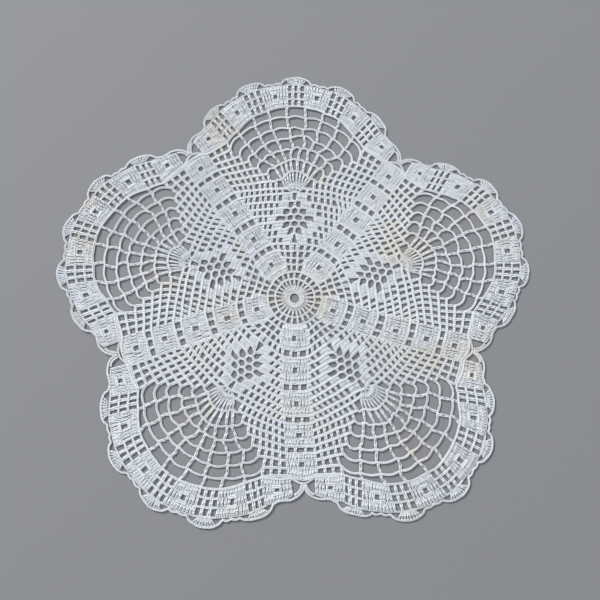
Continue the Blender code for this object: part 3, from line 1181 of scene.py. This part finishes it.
def cotton_colour(cotton, spot):
    """White that is creamy in patches, with painted shade low down between the threads."""
    moved = cotton.node("ShaderNodeMapping", Vector=spot.outputs["Object"], Location=AGE_AT)
    aged = cotton.node("ShaderNodeTexNoise", Vector=moved.outputs["Vector"],
                       Scale=AGE_SCALE, Detail=2.0)
    tint = cotton.node("ShaderNodeAttribute", {"attribute_name": "tint"})
    stain = (cotton.read(aged, "Fac") - AGE_FROM) * AGE_EDGE
    cream = (stain + (cotton.read(tint, "Fac") - 0.5) * TINT_SHARE).clamp()
    white = cotton.node("ShaderNodeMix", {"data_type": "RGBA"},
                        Factor=cream * CREAM_SHARE, A=WHITE, B=CREAM)
    # painted shade: the colour goes to grey where the thread lies low, for the shade that falls between
    # strands
    height = cotton.node("ShaderNodeSeparateXYZ", Vector=spot.outputs["Object"])
    lit = ((cotton.read(height, "Z") - SHADE_BELOW) * SHADE_EDGE).clamp()
    return cotton.node("ShaderNodeMix", {"data_type": "RGBA"},
                       Factor=lit, A=SHADE_COLOUR, B=white.outputs["Result"])


def cotton_finish():
    """The whole finish, as a material."""
    cotton = Shader("cotton")
    spot = cotton.node("ShaderNodeTexCoord")
    surface = cotton.surface.inputs
    cotton.feed(surface["Base Color"], cotton_colour(cotton, spot).outputs["Result"])
    cotton.feed(surface["Normal"], cotton_relief(cotton, spot).outputs["Normal"])
    cotton.feed(surface["Roughness"], COTTON_ROUGH)
    cotton.feed(surface["Sheen Weight"], COTTON_SHEEN)
    print(len(cotton.tree.nodes), "nodes in the cotton")
    return cotton.material


cotton = cotton_finish()
for name, piece in lace.items():
    piece.data.materials.clear()
    piece.data.materials.append(cotton)
    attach(piece, "root")
    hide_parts("doily")

# %% [markdown]
# ## Corners as they lie
#
# Cloth is known by the size that it was cut or worked to. That could be reckoned from
# the chart, but each piece lies flat and keeps its handmade shape. Here the corners of
# each piece are read as it lies, and no size is worked out from them.

for name, piece in lace.items():
    corners = np.empty(len(piece.data.vertices) * 3, np.float32)
    piece.data.vertices.foreach_get("co", corners)
    corners = corners.reshape(-1, 3)

# %% [markdown]
# ## Floor
#
# White lace shows its gaps best on something plain and darker than itself. A backdrop
# could curve up behind it, but the doily is seen from above, so one flat square is
# enough. It is large enough that its edge is far off even in a low view.

# %% Floor
FLOOR_SIDE = 12.0
FLOOR_COLOUR, FLOOR_ROUGH = (0.225, 0.23, 0.24, 1.0), 0.9


def plain_floor():
    """One flat, matt square under the doily."""
    shape = bmesh.new()
    bmesh.ops.create_grid(shape, x_segments=1, y_segments=1, size=FLOOR_SIDE / 2)
    mesh = bpy.data.meshes.new("floor")
    shape.to_mesh(mesh)
    shape.free()
    floor = bpy.data.objects.new("floor", mesh)
    bpy.context.scene.collection.objects.link(floor)
    paint = Shader("floor_paint")
    paint.feed(paint.surface.inputs["Base Color"], FLOOR_COLOUR)
    paint.feed(paint.surface.inputs["Roughness"], FLOOR_ROUGH)
    mesh.materials.append(paint.material)
    return floor


plain_floor()
print(f"the floor is {FLOOR_SIDE:.0f} m wide")

# %% [markdown]
# ## Light
#
# Thread work needs light from one side, so that each strand has a bright flank and a
# soft shadow on the floor. A sun lamp would make those shadows hard. A square window to
# the upper left is soft and still has a direction, and a wide, weak lamp opposite and a
# pale sky keep the shadows open.

# %% Light
Lamp = namedtuple("Lamp", "name place side watts colour")
WINDOW = Lamp("window", (-2.6, 2.45, 2.2), 1.2, 235.0, (1.0, 0.99, 0.97))
FILL = Lamp("fill", (2.3, -1.0, 2.8), 3.0, 27.0, (0.95, 0.97, 1.0))
SKY_COLOUR, SKY_STRENGTH = (0.86, 0.90, 1.0, 1.0), 0.40


def soft_light(lamp):
    """A square light that looks at the doily."""
    data = bpy.data.lights.new(lamp.name, "AREA")
    data.shape = "SQUARE"
    data.size = lamp.side
    data.energy = lamp.watts
    data.color = lamp.colour
    light = bpy.data.objects.new(lamp.name, data)
    light.location = lamp.place
    light.rotation_euler = (-Vector(lamp.place)).to_track_quat("-Z", "Y").to_euler()
    bpy.context.scene.collection.objects.link(light)
    print(f"{lamp.name}: {lamp.watts} W from {lamp.place}")


soft_light(WINDOW)
soft_light(FILL)
world = bpy.data.worlds.new("studio")
world.use_nodes = True
sky = world.node_tree.nodes["Background"].inputs
sky["Color"].default_value = SKY_COLOUR
sky["Strength"].default_value = SKY_STRENGTH
bpy.context.scene.world = world
bpy.context.scene.view_settings.view_transform = "Standard"

# %% [markdown]
# ## Camera
#
# Lace is looked at from above, where its pattern reads best, and a hand-held view is
# never quite square to the table. The camera could be placed by angles alone, but a
# direction to look along and one to the right say more plainly how it leans.

# %% Camera
SEEN_AT = Vector((1.82, -1.76, 0.0))    # what lies at the middle of the view, from the star's middle
LOOK = Vector((0.0588, 0.2187, -0.974)).normalized()
ROUGHLY_RIGHT = Vector((0.998, 0.0, 0.0603))
VIEW_TURN = math.radians(-0.98)
CAMERA_FAR = 437.0
FIELD = 2 * math.atan(300 / 643)        # 643 away, the view reaches 300 to each side
SENSOR = 36.0

turned = Matrix.Rotation(VIEW_TURN, 3, "Z")
right = (ROUGHLY_RIGHT - LOOK * ROUGHLY_RIGHT.dot(LOOK)).normalized()
up = right.cross(LOOK)
look, right, up = turned @ LOOK, turned @ right, turned @ up
place = turned @ SEEN_AT + Vector((*STAR_AT, 0.0)) - look * CAMERA_FAR
camera_data = bpy.data.cameras.new("camera")
camera_data.sensor_width = SENSOR
camera_data.angle = FIELD
camera = bpy.data.objects.new("camera", camera_data)
axes = Matrix((right, up, -look)).transposed().to_4x4()
camera.matrix_world = Matrix.Translation(place * MM) @ axes
bpy.context.scene.collection.objects.link(camera)
bpy.context.scene.camera = camera
print(f"the camera is {place.length:.0f} mm away")
